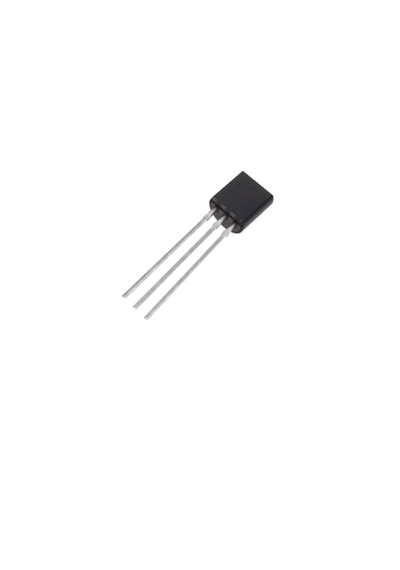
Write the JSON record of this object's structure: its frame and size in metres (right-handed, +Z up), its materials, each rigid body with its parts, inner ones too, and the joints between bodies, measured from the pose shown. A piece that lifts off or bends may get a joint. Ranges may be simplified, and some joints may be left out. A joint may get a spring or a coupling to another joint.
{
  "type": "through-hole transistor",
  "caption": "Small-signal transistor: D-shaped moulded plastic body with a flat front and round back, and straight tinned leads in a row from its underside.",
  "frame": {"origin": "centre of the bounding box in plan, on the surface that the part lies on", "axes": "+Z up with the part lying on its round back and its flat upward; +Y from the lead tips to the body's top; X across the row of leads"},
  "size_m": [0.0046, 0.0182, 0.0037],
  "materials": {
    "moulding": "fine moulded matt",
    "tinned_copper": "bright tin plate, softly uneven",
    "silicon": "polished",
    "silver_epoxy": "matt, silver filled",
    "gold": "drawn"
  },
  "bodies": {
    "root": {"moulded_body": "moulding", "collector_lead": "tinned_copper", "base_lead": "tinned_copper", "emitter_lead": "tinned_copper", "die": "silicon", "die_attach": "silver_epoxy", "base_wire": "gold", "emitter_wire": "gold"}
  },
  "joints": []
}
